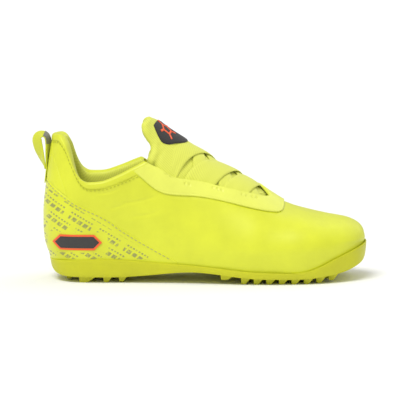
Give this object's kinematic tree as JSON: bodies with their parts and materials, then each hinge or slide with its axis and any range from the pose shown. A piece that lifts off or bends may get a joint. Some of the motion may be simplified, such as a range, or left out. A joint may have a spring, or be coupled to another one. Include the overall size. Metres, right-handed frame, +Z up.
{
  "type": "turf shoe",
  "caption": "Right-foot soccer turf shoe: low synthetic upper, padded collar and tongue, flat laces, heel pull loop, and a rubber cup sole with short moulded studs.",
  "frame": {"origin": "on the ground plane under the stud tips, below the middle of the shoe's overall box", "axes": "+X towards the toe, +Z up, +Y towards the inner (medial) side"},
  "size_m": [0.2506, 0.084, 0.1215],
  "materials": {
    "sole_rubber": "satin",
    "midsole_foam": "matte",
    "board": "matte",
    "sock_fabric": "matte",
    "upper_leather": "satin",
    "lining_fabric": "matte",
    "panel_film": "satin",
    "facing_leather": "satin",
    "badge_dark": "matte",
    "accent_orange": "satin",
    "tongue_fabric": "matte",
    "lace_weave": "matte",
    "webbing": "matte"
  },
  "bodies": {
    "shoe": {"outsole": "sole_rubber", "midsole": "midsole_foam", "bottom_filler": "board", "insole_board": "board", "upper_shell": "upper_leather", "vamp_lining": "lining_fabric", "toe_puff": "board", "heel_counter": "board", "collar_lining": "lining_fabric", "collar_foam": "midsole_foam", "collar_binding": "upper_leather", "heel_panel": "panel_film", "backstay": "upper_leather", "eyestay": "facing_leather", "eyestay_backing": "board", "heel_badge": "badge_dark", "heel_badge_edge": "accent_orange", "tongue_base": "tongue_fabric", "lace": "lace_weave", "lace_loops": "lace_weave", "tab_anchor": "webbing"},
    "insole": {"sockliner": "sock_fabric"},
    "tongue_end": {"tongue_top": "tongue_fabric", "tongue_lining": "lining_fabric", "tongue_label": "badge_dark", "label_mark": "accent_orange"},
    "pull_loop": {"pull_tab": "webbing"}
  },
  "joints": [
    {"name": "tongue_flex", "type": "hinge", "parent": "shoe", "child": "tongue_end", "pos_m": [-0.00923, 0.00054, 0.1014], "axis": [0, 1, 0], "range_deg": [0, 50]},
    {"name": "insole_lift", "type": "hinge", "parent": "shoe", "child": "insole", "pos_m": [0.11978, 0.00654, 0.0182], "axis": [0, 1, 0], "range_deg": [0, 6]},
    {"name": "pull_tab_swing", "type": "hinge", "parent": "shoe", "child": "pull_loop", "pos_m": [-0.11643, -0.00046, 0.084], "axis": [0, -1, 0], "range_deg": [0, 65]}
  ]
}
